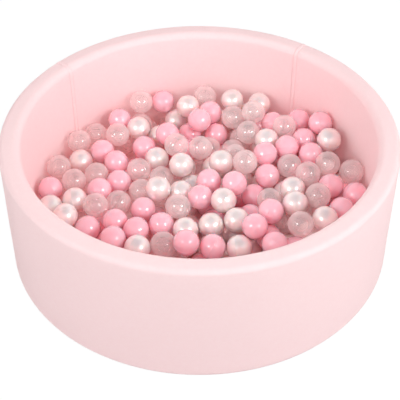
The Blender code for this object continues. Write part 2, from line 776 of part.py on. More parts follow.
clear_scene()
materials = {
    "cover": make_material("pink_jersey", (0.92, 0.68, 0.69), 0.85),
    "foam": make_material("cream_foam", (0.90, 0.85, 0.70), 0.95),
    "tape": make_material("zip_tape", (0.90, 0.62, 0.64), 0.8),
    "teeth": make_material("zip_teeth", (0.92, 0.66, 0.68), 0.5),
    "metal": make_material("painted_metal", (0.93, 0.72, 0.73), 0.35),
    "pink": make_material("pink_plastic", (0.98, 0.42, 0.52), 0.25),
    "pearl": make_material("pearl_plastic", (0.88, 0.83, 0.80), 0.3),
    "clear": make_material("clear_plastic", (0.95, 0.80, 0.82), 0.1, transmission=0.9),
}
seam_wedge_wide = short_panel_wedge("seam_guide_wide", seat_gap / 2)
seam_wedge_narrow = short_panel_wedge("seam_guide_narrow", -seat_gap / 2)
wall_foam()
cover()
base_pad()
zip_rows()
zip_slider()
zip_pull()
make_balls()
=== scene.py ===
"""The looks of a round foam ball pit: its sewn jersey cover, its zip and its glossy balls."""
import json
import math
import random

import bpy
import numpy as np
from mathutils import Matrix, Vector, noise


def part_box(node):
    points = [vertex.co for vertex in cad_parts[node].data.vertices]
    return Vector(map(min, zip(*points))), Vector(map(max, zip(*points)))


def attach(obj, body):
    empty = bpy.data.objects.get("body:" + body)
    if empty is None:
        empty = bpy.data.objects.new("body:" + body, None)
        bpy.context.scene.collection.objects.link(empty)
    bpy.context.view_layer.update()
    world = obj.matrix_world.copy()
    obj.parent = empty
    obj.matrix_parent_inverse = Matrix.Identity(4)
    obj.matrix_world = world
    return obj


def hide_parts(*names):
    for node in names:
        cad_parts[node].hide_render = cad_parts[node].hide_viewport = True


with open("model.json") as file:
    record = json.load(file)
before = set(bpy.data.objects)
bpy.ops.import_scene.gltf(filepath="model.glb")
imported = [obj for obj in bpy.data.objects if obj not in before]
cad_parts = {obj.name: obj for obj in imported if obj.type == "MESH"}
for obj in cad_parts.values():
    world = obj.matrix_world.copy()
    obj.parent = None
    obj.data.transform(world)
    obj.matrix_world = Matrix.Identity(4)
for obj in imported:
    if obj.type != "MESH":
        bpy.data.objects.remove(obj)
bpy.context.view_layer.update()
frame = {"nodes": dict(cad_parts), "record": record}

mm = 0.001
same_place = 0.01 * mm

# The pit, read from the frame
outer_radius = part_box("cover_wall_long")[1].x
overall_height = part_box("cover_wall_long")[1].z
floor_cloth_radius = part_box("cover_floor")[1].x
short_panel_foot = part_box("cover_wall_short")[0].z
hem_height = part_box("cover_strip_below_zip")[1].z
base_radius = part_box("cover_base")[1].x

# The cover
cloth = 1.2 * mm
seat_gap = 0.3 * mm
rim_rounding = 12 * mm
rim_inner_rounding = 17 * mm
foot_rounding = 11 * mm
inner_radius = floor_cloth_radius - cloth
lining_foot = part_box("cover_floor")[0].z + cloth + seat_gap
outside_depth = 0.5 * mm
section_step = 8 * mm
base_step = 20 * mm
rounding_steps = 8
crown_steps = 24
crown_power = 4
cloth_turn_steps = 180
pad_turn_steps = 120

# The two seams that join the short back panel to the long one
seam_angles = (math.radians(54), math.radians(141))
seam_band_width = 10.5 * mm
seam_band_height = 0.9 * mm
seam_edge = 0.9 * mm
seam_groove_width = 0.9 * mm
seam_groove_depth = 1.7 * mm
seam_notch_depth = 3.2 * mm
seam_notch_length = 16 * mm
seam_notch_reach = 1.3 * rim_rounding
pucker_length = 13 * mm
pucker_height = 0.22 * mm
pucker_reach = 16 * mm
fine_columns = math.radians(3)
fine_step = math.radians(0.06)
coarse_step = math.radians(1.5)
unevenness = 0.8 * mm
unevenness_length = 120 * mm

# Sewing thread
stitch_length = 2.6 * mm
stitch_pitch = 3.2 * mm
stitch_thickness = 0.5 * mm
stitch_turn = math.radians(30)
stitch_sides = 6
stitch_rings = 5
hem_stitch_offset = 2.5 * mm
sewing_step = 1 * mm

# The zip
zip_tape_weave = 0.5 * mm
tooth_pitch = 1.6 * mm
tooth_width = 0.95 * mm
tooth_rounding = 0.22 * mm
tooth_waist = 0.3
first_tooth = 0.75
cord_rise = 0.4 * mm
cord_width = 0.7 * mm
clip_rounding = 0.35 * mm
slider_edge = 0.18 * mm
pull_edge = 0.25 * mm
flat_turn = math.radians(1)

# The balls
ball_radius = 30 * mm
ball_segments = 40
ball_rings = 24
parting_line_width = 0.5 * mm
parting_line_height = 0.12 * mm
centre_agreement = 4 * mm
fewest_facets = 6
turning_seed = 5

# The grain of the materials
knit_width = 1.2 * mm
knit_height = 0.9 * mm
knit_depth = 0.10 * mm
thread_depth = 0.05 * mm
stitch_slant = 1.6
mottle_size = 9 * mm
slub_size = 45 * mm
slub_depth = 1.2 * mm
handling_mark_size = 14 * mm
fine_mark_size = 5 * mm
cast_mark_size = 3 * mm
mark_depth = 0.02 * mm
clear_mark_depth = 0.006 * mm
clear_roughness = 0.11
clear_middle_share = 0.30
clear_edge_share = 0.30
cloud_size = 60 * mm
glow_depth = 12 * mm
waves_per_scale = 20
rib_depth = 0.12 * mm
foam_cell = 1.5 * mm
foam_cell_depth = 0.5 * mm

# The camera, as fitted to the photograph
photo_pixels = 400
photo_focal_pixels = 985
photo_axis_pixel = (199.5, 185)
sensor_width = 36
camera_place = Vector((0, -1.769, 1.666))
camera_target = Vector((0, 0, 0.15))

# The surroundings: heights run from the horizon at 0 to straight above at 1
low_light = (0.955, 0.89, 0.89)
high_light = (0.255, 0.225, 0.225)
light_heights = (0.1, 0.9)
mirrored_ceiling = (0.26, 0.29, 0.34)
mirrored_heights = (0.45, 0.95)
floor_radius = 8.0
floor_sides = 64
floor_grey = (0.45, 0.45, 0.45)
floor_whiteness = 0.85
floor_glow = 1.12

# The lamps
lamp_colour = (0.955, 1.0, 1.0)
snoot_colour = (0.97, 0.86, 0.84)
snoot_power = 25
snoot_width = 0.24
snoot_height = 1.5
snoot_spread = 1.96
snoot_blend = 0.25


def deselect_all():
    """Leave nothing selected."""
    bpy.ops.object.select_all(action="DESELECT")


def make_active(piece):
    """Select one piece alone."""
    deselect_all()
    piece.select_set(True)
    bpy.context.view_layer.objects.active = piece


def apply_modifier(piece, kind, **values):
    """Add a modifier, set its values and apply it."""
    make_active(piece)
    modifier = piece.modifiers.new(kind.title(), kind)
    for name, value in values.items():
        setattr(modifier, name, value)
    bpy.ops.object.modifier_apply(modifier=modifier.name)


def settle_place(piece):
    """Put a piece's place, turn and scale into its mesh."""
    make_active(piece)
    bpy.ops.object.transform_apply(location=True, rotation=True, scale=True)


def points_of(piece):
    """The places of a piece's points, one row each."""
    flat = np.empty(3 * len(piece.data.vertices))
    piece.data.vertices.foreach_get("co", flat)
    return flat.reshape(-1, 3)


def move_points(piece, points):
    """Give a piece's points new places."""
    piece.data.vertices.foreach_set("co", points.ravel())
    piece.data.update()


def make_normals_agree(piece):
    """Turn a piece's faces so that they all look to the same side, and out where it is closed."""
    make_active(piece)
    bpy.ops.object.mode_set(mode="EDIT")
    bpy.ops.mesh.select_all(action="SELECT")
    bpy.ops.mesh.normals_make_consistent(inside=False)
    bpy.ops.object.mode_set(mode="OBJECT")


def close_ends(piece):
    """Put a face in each open end of a piece."""
    make_active(piece)
    bpy.ops.object.mode_set(mode="EDIT")
    bpy.ops.mesh.select_all(action="DESELECT")
    bpy.ops.mesh.select_non_manifold()
    bpy.ops.mesh.edge_face_add()
    bpy.ops.object.mode_set(mode="OBJECT")


def finish_piece(piece, material, smooth_angle=40):
    """Make a piece's normals point out, shade it and give it its material."""
    make_normals_agree(piece)
    bpy.ops.object.shade_smooth_by_angle(angle=math.radians(smooth_angle))
    piece.data.materials.clear()
    piece.data.materials.append(material)
    return piece


# Shaders

def add_node(tree, kind, **values):
    """Add a shader node; values named after a socket are set on it, and others on the node."""
    node = tree.nodes.new(kind)
    for name, value in values.items():
        socket = node.inputs.get(name.replace("_", " ").title())
        if socket is not None:
            socket.default_value = value
        else:
            setattr(node, name, value)
    return node


def math_node(tree, operation, first, second=None):
    """Add a sum of one or two sockets or numbers and return its result."""
    node = tree.nodes.new("ShaderNodeMath")
    node.operation = operation
    for socket, value in zip(node.inputs, (first, second)):
        if isinstance(value, bpy.types.NodeSocket):
            tree.links.new(value, socket)
        elif value is not None:
            socket.default_value = value
    return node.outputs[0]


def new_group(name, inputs, outputs):
    """Start a shader node group with named inputs and their values, and named outputs and their kinds."""
    group = bpy.data.node_groups.new(name, "ShaderNodeTree")
    for label, value in inputs.items():
        socket = group.interface.new_socket(name=label, in_out="INPUT", socket_type="NodeSocketFloat")
        socket.default_value = value
    for label, kind in outputs.items():
        group.interface.new_socket(name=label, in_out="OUTPUT", socket_type=kind)
    start = group.nodes.new("NodeGroupInput")
    end = group.nodes.new("NodeGroupOutput")
    return group, start.outputs, end.inputs


def place_group(tree, group, **values):
    """Place a group in a material with its own values."""
    node = tree.nodes.new("ShaderNodeGroup")
    node.node_tree = group
    for name, value in values.items():
        node.inputs[name.replace("_", " ")].default_value = value
    return node


def find_squares_root(tree, first, second):
    """The root of the sum of two sockets' squares."""
    squares = [math_node(tree, "MULTIPLY", socket, socket) for socket in (first, second)]
    return math_node(tree, "SQRT", math_node(tree, "ADD", *squares))


def make_knit():
    """Jersey: rows of small V stitches round the pit, with soft unevenness in the yarn."""
    group, values, results = new_group(
        "knit", {"stitch width": knit_width, "stitch height": knit_height, "mottle size": mottle_size},
        {"height": "NodeSocketFloat", "mottle": "NodeSocketFloat", "slub": "NodeSocketFloat"})
    place = group.nodes.new("ShaderNodeTexCoord").outputs["Object"]
    split = group.nodes.new("ShaderNodeSeparateXYZ")
    group.links.new(place, split.inputs[0])
    east, north, up = split.outputs
    angle = math_node(group, "ARCTAN2", north, east)
    away = find_squares_root(group, east, north)
    around = math_node(group, "MULTIPLY", angle, outer_radius)
    along = math_node(group, "SUBTRACT", up, away)
    column = math_node(group, "FRACT", math_node(group, "DIVIDE", around, values["stitch width"]))
    side = math_node(group, "ABSOLUTE", math_node(group, "SUBTRACT", column, 0.5))
    row = math_node(group, "DIVIDE", along, values["stitch height"])
    slanted = math_node(group, "ADD", row, math_node(group, "MULTIPLY", side, stitch_slant))
    wave = math_node(group, "SINE", math_node(group, "MULTIPLY", slanted, math.pi))
    yarn = math_node(group, "ABSOLUTE", wave)
    leg = math_node(group, "SINE", math_node(group, "MULTIPLY", side, 2 * math.pi))
    group.links.new(math_node(group, "MULTIPLY", yarn, leg), results["height"])
    mottle = add_node(group, "ShaderNodeTexNoise", detail=3.0, roughness=0.6)
    group.links.new(place, mottle.inputs["Vector"])
    group.links.new(math_node(group, "DIVIDE", 1.0, values["mottle size"]), mottle.inputs["Scale"])
    group.links.new(mottle.outputs["Fac"], results["mottle"])
    slub = add_node(group, "ShaderNodeTexNoise", detail=2.0, roughness=0.5, scale=1 / slub_size)
    group.links.new(place, slub.inputs["Vector"])
    group.links.new(slub.outputs["Fac"], results["slub"])
    return group


def make_wear():
    """Faint scuffs and handling marks on moulded plastic."""
    group, values, results = new_group(
        "handling marks", {"mark size": handling_mark_size, "mark strength": 0.1},
        {"roughness change": "NodeSocketFloat", "height": "NodeSocketFloat"})
    place = group.nodes.new("ShaderNodeTexCoord").outputs["Object"]
    broad = add_node(group, "ShaderNodeTexNoise", detail=4.0, roughness=0.65)
    group.links.new(place, broad.inputs["Vector"])
    group.links.new(math_node(group, "DIVIDE", 1.0, values["mark size"]), broad.inputs["Scale"])
    centred = math_node(group, "SUBTRACT", broad.outputs["Fac"], 0.5)
    change = math_node(group, "MULTIPLY", centred, values["mark strength"])
    group.links.new(change, results["roughness change"])
    fine = add_node(group, "ShaderNodeTexNoise", detail=2.0, scale=1 / fine_mark_size)
    group.links.new(place, fine.inputs["Vector"])
    group.links.new(fine.outputs["Fac"], results["height"])
    return group


def new_material(name):
    """Start a material and return it with its node tree and shader."""
    material = bpy.data.materials.new(name)
    material.use_nodes = True
    tree = material.node_tree
    return material, tree, tree.nodes["Principled BSDF"]


def mix_colours(tree, amount, first, second):
    """Mix two colours by a socket."""
    node = tree.nodes.new("ShaderNodeMix")
    node.data_type = "RGBA"
    tree.links.new(amount, node.inputs["Factor"])
    node.inputs["A"].default_value = (*first, 1)
    node.inputs["B"].default_value = (*second, 1)
    return node.outputs["Result"]


def add_bump(tree, shader, layers):
    """Bump a shader by layers of height, each with its depth, one after another."""
    normal = None
    for height, depth in layers:
        bump = tree.nodes.new("ShaderNodeBump")
        bump.inputs["Distance"].default_value = depth
        tree.links.new(height, bump.inputs["Height"])
        if normal is not None:
            tree.links.new(normal, bump.inputs["Normal"])
        normal = bump.outputs["Normal"]
    tree.links.new(normal, shader.inputs["Normal"])


def jersey_material(name, pale, deep, knit_depth):
    """Soft pink cotton jersey."""
    material, tree, shader = new_material(name)
    knit_node = place_group(tree, knit)
    tint = mix_colours(tree, knit_node.outputs["mottle"], deep, pale)
    tree.links.new(tint, shader.inputs["Base Color"])
    shader.inputs["Roughness"].default_value = 0.88
    shader.inputs["Specular IOR Level"].default_value = 0.25
    shader.inputs["Sheen Weight"].default_value = 0.35
    shader.inputs["Sheen Roughness"].default_value = 0.45
    shader.inputs["Sheen Tint"].default_value = (1.0, 0.88, 0.88, 1)
    layers = [(knit_node.outputs["slub"], slub_depth), (knit_node.outputs["height"], knit_depth)]
    add_bump(tree, shader, layers)
    return material


def roughen(tree, shader, marks, roughness):
    """Set a shader's roughness, changed by its handling marks."""
    changed = math_node(tree, "ADD", marks.outputs["roughness change"], roughness)
    tree.links.new(changed, shader.inputs["Roughness"])


def plastic_material(name, pale, deep, roughness, coat_roughness, metallic, glow):
    """Thin blow-moulded plastic that lets some light through, with faint handling marks."""
    material, tree, shader = new_material(name)
    marks = place_group(tree, wear, mark_strength=0.08)
    place = tree.nodes.new("ShaderNodeTexCoord").outputs["Object"]
    clouds = add_node(tree, "ShaderNodeTexNoise", detail=2.0, scale=1 / cloud_size)
    tree.links.new(place, clouds.inputs["Vector"])
    tree.links.new(mix_colours(tree, clouds.outputs["Fac"], deep, pale), shader.inputs["Base Color"])
    roughen(tree, shader, marks, roughness)
    shader.inputs["Metallic"].default_value = metallic
    shader.inputs["Subsurface Weight"].default_value = 0.75
    shader.inputs["Subsurface Radius"].default_value = glow
    shader.inputs["Subsurface Scale"].default_value = glow_depth
    shader.inputs["Coat Weight"].default_value = 1.0
    shader.inputs["Coat Roughness"].default_value = coat_roughness
    shader.inputs["Coat IOR"].default_value = 1.8
    add_bump(tree, shader, [(marks.outputs["height"], mark_depth)])
    return material


def clear_material():
    """Thin see-through plastic with a breath of pink."""
    material, tree, shader = new_material("clear_plastic")
    marks = place_group(tree, wear, mark_strength=0.04)
    shader.inputs["Base Color"].default_value = (1.0, 0.93, 0.93, 1)
    roughen(tree, shader, marks, clear_roughness)
    shader.inputs["IOR"].default_value = 3.0
    add_bump(tree, shader, [(marks.outputs["height"], clear_mark_depth)])
    through = tree.nodes.new("ShaderNodeBsdfTransparent")
    through.inputs["Color"].default_value = (1.0, 0.94, 0.935, 1)
    edge = add_node(tree, "ShaderNodeLayerWeight", blend=0.35)
    more = math_node(tree, "MULTIPLY", edge.outputs["Facing"], clear_edge_share)
    share = math_node(tree, "ADD", more, clear_middle_share)
    mix = tree.nodes.new("ShaderNodeMixShader")
    tree.links.new(share, mix.inputs["Fac"])
    tree.links.new(through.outputs[0], mix.inputs[1])
    tree.links.new(shader.outputs[0], mix.inputs[2])
    tree.links.new(mix.outputs[0], tree.nodes["Material Output"].inputs["Surface"])
    return material


def tape_material():
    """Woven zip tape with a fine rib along it."""
    material, tree, shader = new_material("zip_tape")
    place = tree.nodes.new("ShaderNodeTexCoord").outputs["Object"]
    ribs = add_node(tree, "ShaderNodeTexWave", scale=1 / (waves_per_scale * zip_tape_weave),
                    bands_direction="Z")
    tree.links.new(place, ribs.inputs["Vector"])
    tint = mix_colours(tree, ribs.outputs["Fac"], (0.80, 0.50, 0.52), (0.88, 0.60, 0.61))
    tree.links.new(tint, shader.inputs["Base Color"])
    shader.inputs["Roughness"].default_value = 0.85
    add_bump(tree, shader, [(ribs.outputs["Fac"], rib_depth)])
    return material


def hard_material(name, pale, deep, roughness, metallic):
    """Moulded plastic or cast metal with handling marks."""
    material, tree, shader = new_material(name)
    marks = place_group(tree, wear, mark_size=cast_mark_size, mark_strength=0.35)
    tree.links.new(mix_colours(tree, marks.outputs["height"], deep, pale), shader.inputs["Base Color"])
    roughen(tree, shader, marks, roughness)
    shader.inputs["Metallic"].default_value = metallic
    add_bump(tree, shader, [(marks.outputs["height"], mark_depth)])
    return material


def foam_material():
    """Cut open-cell foam."""
    material, tree, shader = new_material("foam")
    place = tree.nodes.new("ShaderNodeTexCoord").outputs["Object"]
    cells = add_node(tree, "ShaderNodeTexVoronoi", scale=1 / foam_cell)
    tree.links.new(place, cells.inputs["Vector"])
    # The cell hollows, which the bump makes lowest, take the darker colour: painted shade in the pores.
    tint = mix_colours(tree, cells.outputs["Distance"], (0.62, 0.56, 0.42), (0.86, 0.81, 0.66))
    tree.links.new(tint, shader.inputs["Base Color"])
    shader.inputs["Roughness"].default_value = 0.95
    add_bump(tree, shader, [(cells.outputs["Distance"], foam_cell_depth)])
    return material


# The cloth

def arc_points(centre, radius, start, end, steps=rounding_steps):
    """Points along an arc in a section, as (distance from the axis, height)."""
    points = []
    for step in range(steps + 1):
        angle = start + (end - start) * step / steps
        points.append((centre[0] + radius * math.cos(angle), centre[1] + radius * math.sin(angle)))
    return points


def divided(points, step=section_step):
    """The same section with its long straight stretches divided."""
    result = [points[0]]
    for start, end in zip(points, points[1:]):
        count = max(1, round(math.dist(start, end) / step))
        for number in range(1, count + 1):
            share = number / count
            result.append((start[0] + (end[0] - start[0]) * share, start[1] + (end[1] - start[1]) * share))
    return result


def without_doubles(points):
    """A section with no two points in one place."""
    result = [points[0]]
    for point in points[1:]:
        if math.dist(point, result[-1]) > same_place:
            result.append(point)
    return result


def foot_section():
    """The cloth that turns under the foot."""
    return arc_points((outer_radius - foot_rounding, foot_rounding), foot_rounding, -math.pi / 2, 0)


def wall_section():
    """The cloth over the rim and down the inside of the wall."""
    outer, inner = rim_rounding, rim_inner_rounding
    points = arc_points((outer_radius - outer, overall_height - outer), outer, 0, math.pi / 2)
    points += arc_points((inner_radius + inner, overall_height - inner), inner, math.pi / 2, math.pi)
    points.append((inner_radius, lining_foot))
    return points


def draw_section(name, points):
    """Draw a section point by point, from a plane shrunk to its first point."""
    deselect_all()
    bpy.ops.mesh.primitive_plane_add(size=1.0, location=(0, 0, 0))
    piece = bpy.context.object
    piece.name = name
    bpy.ops.object.mode_set(mode="EDIT")
    bpy.ops.mesh.select_all(action="SELECT")
    bpy.ops.mesh.merge(type="CENTER")
    bpy.ops.transform.translate(value=(points[0][0], 0, points[0][1]))
    for start, end in zip(points, points[1:]):
        step = (end[0] - start[0], 0, end[1] - start[1])
        bpy.ops.mesh.extrude_region_move(TRANSFORM_OT_translate={"value": step})
    bpy.ops.object.mode_set(mode="OBJECT")
    return piece


def spin_section(piece, start_angle, stretches):
    """Spin a section round the pit's axis, in stretches that each have their own angle and steps."""
    make_active(piece)
    bpy.ops.object.mode_set(mode="EDIT")
    bpy.ops.mesh.select_all(action="SELECT")
    for angle, steps in stretches:
        bpy.ops.mesh.spin(steps=steps, angle=-angle, center=(0, 0, 0), axis=(0, 0, 1))
    bpy.ops.mesh.select_all(action="SELECT")
    bpy.ops.mesh.remove_doubles(threshold=same_place)
    bpy.ops.object.mode_set(mode="OBJECT")
    piece.rotation_euler.z = start_angle
    settle_place(piece)


def panel_stretches(start_angle, end_angle):
    """Fine columns beside both seams and coarse ones between them."""
    fine = (fine_columns, round(fine_columns / fine_step))
    middle = end_angle - start_angle - 2 * fine_columns
    return [fine, (middle, round(middle / coarse_step)), fine]


def cloth_rise(points):
    """How far the cloth stands out at points on it: its seams' bands, grooves, notches and puckers, and the
    foam's slight unevenness."""
    angle = np.arctan2(points[:, 1], points[:, 0])
    away = np.hypot(points[:, 0], points[:, 1])
    rise = np.zeros(len(points))
    edge_distance = np.abs(away - inner_radius) + np.abs(points[:, 2] - overall_height)
    notch = np.exp(-(edge_distance / seam_notch_reach) ** 2)
    along = points[:, 2] - away
    pucker = pucker_height * np.sin(2 * math.pi * along / pucker_length)
    for seam, side in zip(seam_angles, (-1, 1)):
        offset = side * ((angle - seam + math.pi) % (2 * math.pi) - math.pi) * away
        middle = offset - seam_band_width / 2
        rise += seam_band_height / 2 * (1 - np.tanh((np.abs(middle) - seam_band_width / 2) / seam_edge))
        for line in (0, seam_band_width):
            rise -= seam_groove_depth * np.exp(-((offset - line) / seam_groove_width) ** 2)
        beyond = offset - seam_band_width
        dip = np.exp(-(beyond / seam_notch_length) ** 2) * (1 - np.tanh(beyond / seam_edge)) / 2
        rise -= seam_notch_depth * notch * dip
        rise += pucker * np.exp(-(middle / pucker_reach) ** 2)
    for index, place in enumerate(points):
        rise[index] += unevenness * noise.noise(Vector(place) / unevenness_length)
    return rise * np.clip(points[:, 2] / foot_rounding, 0, 1)


def shape_cloth(piece):
    """Give a panel its seams and its slight unevenness."""
    points = points_of(piece)
    normals = np.empty(3 * len(points))
    piece.data.vertices.foreach_get("normal", normals)
    move_points(piece, points + normals.reshape(-1, 3) * cloth_rise(points)[:, None])


def sewn_panel(name, node, section, start_angle, end_angle):
    """One panel of the cover, from its section and the angles of its two edges."""
    edge_gap = seat_gap / 2 / outer_radius
    section = divided(without_doubles(section))
    piece = draw_section(name, section)
    start_angle += edge_gap
    end_angle -= edge_gap
    spin_section(piece, start_angle, panel_stretches(start_angle, end_angle))
    face_cloth_out(piece, outer_radius)
    shape_cloth(piece)
    apply_modifier(piece, "SOLIDIFY", thickness=cloth, offset=-1)
    finish_piece(piece, jersey)
    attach(piece, "root")
    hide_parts(node)


def face_cloth_out(piece, radius):
    """Turn an open piece's faces so that those on the outside of the wall look away from the axis."""
    make_normals_agree(piece)
    outward = 0.0
    for face in piece.data.polygons:
        away = math.hypot(face.center.x, face.center.y)
        if away > radius - outside_depth:
            outward += face.normal.x * face.center.x + face.normal.y * face.center.y
    if outward < 0:
        piece.data.flip_normals()


def make_cover():
    """The cover's three panels on the wall."""
    right, left = seam_angles
    full = foot_section() + [(outer_radius, foot_rounding)] + wall_section()
    sewn_panel("cover_long_panel", "cover_wall_long", full, left, right + 2 * math.pi)
    short = [(outer_radius, short_panel_foot)] + wall_section()
    sewn_panel("cover_short_panel", "cover_wall_short", short, right, left)
    strip = foot_section() + [(outer_radius, hem_height)]
    sewn_panel("cover_zip_strip", "cover_strip_below_zip", strip, right, left)


def turned_piece(name, section, material, steps=cloth_turn_steps):
    """A full turn of a closed section."""
    piece = draw_section(name, without_doubles(section))
    spin_section(piece, 0.0, [(2 * math.pi, steps)])
    finish_piece(piece, material)
    return piece


def make_floor_and_base():
    """The cloth under the balls, bedded on the crowned pad, and the cloth under the foot."""
    low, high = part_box("cover_floor")
    crown = high.z - low.z - cloth
    top = []
    for step in range(crown_steps + 1):
        share = step / crown_steps
        top.append((share * inner_radius, high.z - crown * share ** crown_power))
    under = [(radius, height - cloth) for radius, height in reversed(top)]
    edge = [(floor_cloth_radius, low.z + cloth), (floor_cloth_radius, low.z)]
    floor = turned_piece("cover_floor_cloth", top + edge + under, jersey)
    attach(floor, "root")
    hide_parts("cover_floor")
    soft = cloth / 3
    section = [(0, 0), (base_radius - soft, 0), (base_radius, soft), (base_radius, cloth - soft),
               (base_radius - soft, cloth), (0, cloth)]
    base = turned_piece("cover_base_cloth", divided(section, base_step), jersey)
    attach(base, "root")
    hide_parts("cover_base")


# The sewing

def model_stitch():
    """One stitch of thread, lying along X."""
    deselect_all()
    bpy.ops.mesh.primitive_uv_sphere_add(segments=stitch_sides, ring_count=stitch_rings, radius=0.5)
    stitch = bpy.context.object
    stitch.name = "stitch_model"
    stitch.scale = (stitch_length, stitch_thickness, stitch_thickness)
    stitch.rotation_euler.x = stitch_turn
    settle_place(stitch)
    bpy.ops.object.shade_smooth()
    stitch.data.materials.append(thread)
    stitch.hide_render = True
    return stitch


def stitch_matrix(place, along, out):
    """Where a stitch lies: its middle, its length and its way out of the cloth."""
    along = along.normalized()
    side = out.cross(along).normalized()
    return Matrix.Translation(place) @ Matrix((along, side, along.cross(side))).transposed().to_4x4()


def sew_seam(name, stitch, angle, offset):
    """Stitches over the wall along one edge of a seam's band."""
    section = divided(without_doubles([(outer_radius, foot_rounding)] + wall_section()), sewing_step)
    outline = np.array(section)
    travelled = np.concatenate([[0], np.cumsum(np.hypot(*np.diff(outline, axis=0).T))])
    parts = []
    for distance in np.arange(stitch_pitch, travelled[-1] - stitch_pitch, stitch_pitch):
        ends = []
        for reach in (-stitch_length / 2, 0, stitch_length / 2):
            away = np.interp(distance + reach, travelled, outline[:, 0])
            height = np.interp(distance + reach, travelled, outline[:, 1])
            turn = angle + offset / away
            ends.append(Vector((away * math.cos(turn), away * math.sin(turn), height)))
        along = ends[2] - ends[0]
        round_wall = Vector((-math.sin(angle), math.cos(angle), 0))
        out = round_wall.cross(along).normalized()
        rise = float(cloth_rise(np.array([ends[1]]))[0]) + stitch_thickness / 4
        parts.append(copy_in_place(stitch, stitch_matrix(ends[1] + out * rise, along, out)))
    piece = join_pieces(parts, name)
    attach(piece, "root")


def sew_round(name, stitch, height):
    """A row of stitches round the outside of the wall, along one side of the zip."""
    parts = []
    pitch = stitch_pitch / outer_radius
    for angle in np.arange(seam_angles[0] + 2 * pitch, seam_angles[1] - 2 * pitch, pitch):
        out = Vector((math.cos(angle), math.sin(angle), 0))
        place = out * outer_radius + Vector((0, 0, height))
        rise = float(cloth_rise(np.array([place]))[0]) + stitch_thickness / 4
        along = Vector((-math.sin(angle), math.cos(angle), 0))
        parts.append(copy_in_place(stitch, stitch_matrix(place + out * rise, along, out)))
    piece = join_pieces(parts, name)
    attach(piece, "root")


def make_stitches():
    """Two rows on each seam, and a row in the cloth on each side of the zip."""
    stitch = model_stitch()
    for side, angle, way in (("right", seam_angles[0], -1), ("left", seam_angles[1], 1)):
        sew_seam("stitches_%s_seam_inner" % side, stitch, angle, way * seat_gap)
        sew_seam("stitches_%s_seam_outer" % side, stitch, angle, way * seam_band_width)
    sew_round("stitches_above_zip", stitch, short_panel_foot + hem_stitch_offset)
    sew_round("stitches_below_zip", stitch, hem_height - hem_stitch_offset)
    bpy.data.objects.remove(stitch)


# The zip

def reach_of(node):
    """A curved CAD piece's nearest and farthest points from the axis, and its lowest and highest."""
    points = points_of(frame["nodes"][node])
    away = np.hypot(points[:, 0], points[:, 1])
    return away.min(), away.max(), points[:, 2].min(), points[:, 2].max()


def angles_of(node):
    """The angles between which a curved CAD piece at the back lies."""
    points = points_of(frame["nodes"][node])
    turns = np.arctan2(points[:, 1], points[:, 0])
    return turns.min(), turns.max()


def swept_piece(name, section, start, end, material):
    """A closed section swept round the pit's axis between two angles, with closed ends."""
    piece = draw_section(name, without_doubles(section + section[:1]))
    spin_section(piece, start, [(end - start, round((end - start) / coarse_step))])
    close_ends(piece)
    return finish_piece(piece, material)


def make_tapes():
    """The woven tapes, each with a corded edge under its teeth."""
    for side, sign in (("lower", -1), ("upper", 1)):
        node = "zip_tape_" + side
        near, far, low, high = reach_of(node)
        start, end = angles_of(node)
        edge, back = (high, low) if sign < 0 else (low, high)
        soft = (far - near) / 3
        proud = far + cord_rise
        section = [(near, edge + sign * soft), (near + soft, edge), (far, edge)]
        section += [(proud, edge + sign * cord_rise), (proud, edge + sign * cord_width)]
        section += [(far, edge + sign * (cord_width + cord_rise)), (far, back - sign * soft)]
        section += [(far - soft, back), (near, back)]
        tape = swept_piece("woven_tape_" + side, section, start, end, zip_cloth)
        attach(tape, "root")
        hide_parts(node)


def make_teeth():
    """Two rows of moulded teeth, each tooth with a waist and a rounded head."""
    for side, sign, shift in (("lower", -1, 0), ("upper", 1, 0.5)):
        node = "zip_teeth_" + side
        near, far, low, high = reach_of(node)
        start, end = angles_of(node)
        pitch = tooth_pitch / far
        count = int((end - start) / pitch - 1)
        deselect_all()
        bpy.ops.mesh.primitive_cube_add(size=1.0)
        tooth = bpy.context.object
        tooth.name = "tooth_row_" + side
        tooth.scale = (far - near, tooth_width, high - low)
        settle_place(tooth)
        bpy.ops.object.mode_set(mode="EDIT")
        bpy.ops.mesh.select_all(action="SELECT")
        bpy.ops.mesh.bevel(offset=tooth_rounding, segments=1, affect="EDGES")
        bpy.ops.object.mode_set(mode="OBJECT")
        points = points_of(tooth)
        head = np.clip(0.5 - sign * points[:, 2] / (high - low), 0, 1)
        points[:, 1] *= 1 - tooth_waist * (1 - head)
        move_points(tooth, points)
        tooth.location = ((near + far) / 2, 0, (low + high) / 2)
        settle_place(tooth)
        deselect_all()
        bpy.ops.object.empty_add(location=(0, 0, 0))
        turner = bpy.context.object
        turner.rotation_euler.z = pitch
        bpy.context.view_layer.update()
        apply_modifier(tooth, "ARRAY", count=count, use_relative_offset=False, use_object_offset=True,
                       offset_object=turner)
        bpy.data.objects.remove(turner)
        tooth.rotation_euler.z = start + (first_tooth + shift) * pitch
        settle_place(tooth)
        finish_piece(tooth, zip_plastic, smooth_angle=50)
        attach(tooth, "root")
        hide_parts(node)


def soft_block(low, high, rounding):
    """A block with soft edges."""
    deselect_all()
    bpy.ops.mesh.primitive_cube_add(size=1.0, location=[(a + b) / 2 for a, b in zip(low, high)])
    block = bpy.context.object
    block.scale = [b - a for a, b in zip(low, high)]
    settle_place(block)
    apply_modifier(block, "BEVEL", width=rounding, segments=2, limit_method="ANGLE")
    return block


def wall_matrix(angle):
    """The frame of a small piece on the wall: X along the zip, Y out from the wall, Z up."""
    return Matrix.Rotation(angle - math.pi / 2, 4, "Z")


